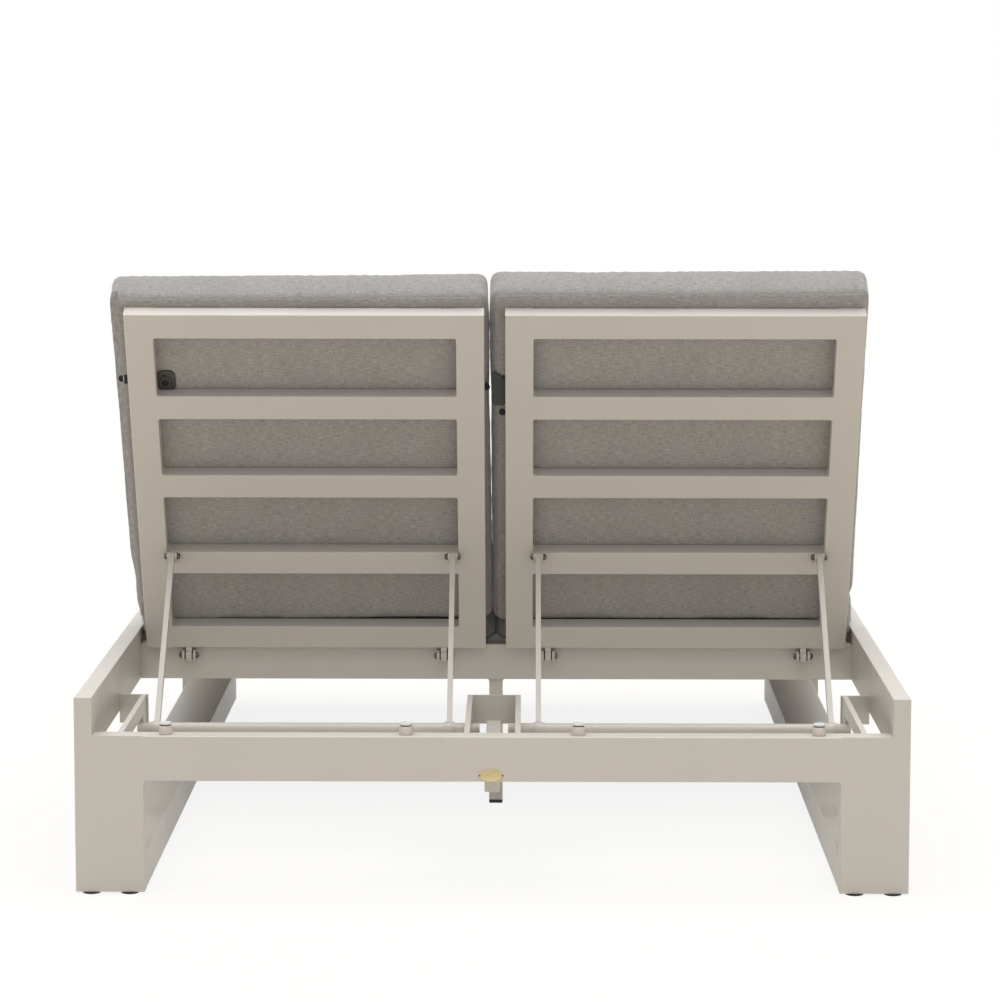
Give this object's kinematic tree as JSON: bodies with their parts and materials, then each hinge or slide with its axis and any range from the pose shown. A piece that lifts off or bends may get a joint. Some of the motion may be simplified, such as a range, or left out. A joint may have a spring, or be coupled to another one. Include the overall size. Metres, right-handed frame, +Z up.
{
  "type": "double chaise lounger",
  "caption": "Low double lounger on a flat tube frame, with backrests that recline one by one on notched ratchets, folding stands and box cushions.",
  "frame": {"origin": "middle of the footprint, on the floor", "axes": "+Z up, +Y from the backrests' end to the foot end, X across the width"},
  "size_m": [1.5, 2.005, 1.0832],
  "materials": {
    "powder_coated_aluminium": "warm light grey powder coat, fine satin",
    "bolt_steel": "dark, satin",
    "foot_rubber": "matt",
    "bumper_plastic": "soft, slightly see-through",
    "cushion_fabric": "melange weave, warm light grey",
    "strap_webbing": "black webbing"
  },
  "bodies": {
    "frame": {"center_beam": "powder_coated_aluminium", "center_leg": "powder_coated_aluminium", "center_leg_cap": "foot_rubber", "floor_runner_left": "powder_coated_aluminium", "floor_runner_right": "powder_coated_aluminium", "foot_beam": "powder_coated_aluminium", "foot_leg_left": "powder_coated_aluminium", "foot_leg_right": "powder_coated_aluminium", "head_beam": "powder_coated_aluminium", "head_leg_left": "powder_coated_aluminium", "head_leg_right": "powder_coated_aluminium", "hinge_beam": "powder_coated_aluminium", "hinge_bolts_left": "bolt_steel", "hinge_bolts_right": "bolt_steel", "hinge_ears_left": "powder_coated_aluminium", "hinge_ears_right": "powder_coated_aluminium", "leg_glides": "foot_rubber", "ratchet_end_plate_center": "powder_coated_aluminium", "ratchet_end_plate_left": "powder_coated_aluminium", "ratchet_end_plate_right": "powder_coated_aluminium", "ratchet_plate_inner_left": "powder_coated_aluminium", "ratchet_plate_inner_right": "powder_coated_aluminium", "ratchet_plate_outer_left": "powder_coated_aluminium", "ratchet_plate_outer_right": "powder_coated_aluminium", "rest_bumpers": "bumper_plastic", "seat_beam": "powder_coated_aluminium", "seat_cushion_left": "cushion_fabric", "seat_cushion_right": "cushion_fabric", "seat_slats_left": "powder_coated_aluminium", "seat_slats_right": "powder_coated_aluminium", "side_rail_left": "powder_coated_aluminium", "side_rail_right": "powder_coated_aluminium"},
    "backrest_left": {"back_cushion_left": "cushion_fabric", "backrest_bottom_rail_left": "powder_coated_aluminium", "backrest_knuckles_left": "powder_coated_aluminium", "backrest_slats_left": "powder_coated_aluminium", "backrest_stile_inner_left": "powder_coated_aluminium", "backrest_stile_outer_left": "powder_coated_aluminium", "backrest_top_rail_left": "powder_coated_aluminium", "cushion_straps_left": "strap_webbing", "stand_bolts_left": "bolt_steel", "stand_brackets_left": "powder_coated_aluminium"},
    "backrest_right": {"back_cushion_right": "cushion_fabric", "backrest_bottom_rail_right": "powder_coated_aluminium", "backrest_knuckles_right": "powder_coated_aluminium", "backrest_slats_right": "powder_coated_aluminium", "backrest_stile_inner_right": "powder_coated_aluminium", "backrest_stile_outer_right": "powder_coated_aluminium", "backrest_top_rail_right": "powder_coated_aluminium", "cushion_straps_right": "strap_webbing", "stand_bolts_right": "bolt_steel", "stand_brackets_right": "powder_coated_aluminium"},
    "stand_left": {"stand_arm_inner_left": "powder_coated_aluminium", "stand_arm_outer_left": "powder_coated_aluminium", "stand_crossbar_left": "powder_coated_aluminium"},
    "stand_right": {"stand_arm_inner_right": "powder_coated_aluminium", "stand_arm_outer_right": "powder_coated_aluminium", "stand_crossbar_right": "powder_coated_aluminium"}
  },
  "joints": [
    {"name": "backrest_left_hinge", "type": "hinge", "parent": "frame", "child": "backrest_left", "pos_m": [-0.362, -0.2105, 0.306], "axis": [1, 0, 0], "range_deg": [0, 63.2]},
    {"name": "stand_left_hinge", "type": "hinge", "parent": "backrest_left", "child": "stand_left", "pos_m": [-0.362, -0.32637, 0.52296], "axis": [1, 0, 0], "range_deg": [-97.56, 0]},
    {"name": "backrest_right_hinge", "type": "hinge", "parent": "frame", "child": "backrest_right", "pos_m": [0.362, -0.2105, 0.306], "axis": [1, 0, 0], "range_deg": [0, 63.2]},
    {"name": "stand_right_hinge", "type": "hinge", "parent": "backrest_right", "child": "stand_right", "pos_m": [0.362, -0.32637, 0.52296], "axis": [1, 0, 0], "range_deg": [-97.56, 0]}
  ],
  "couplings": [
    {"joint": "stand_left_hinge", "follows": "backrest_left_hinge", "ratio": -1.5436},
    {"joint": "stand_right_hinge", "follows": "backrest_right_hinge", "ratio": -1.5436}
  ]
}
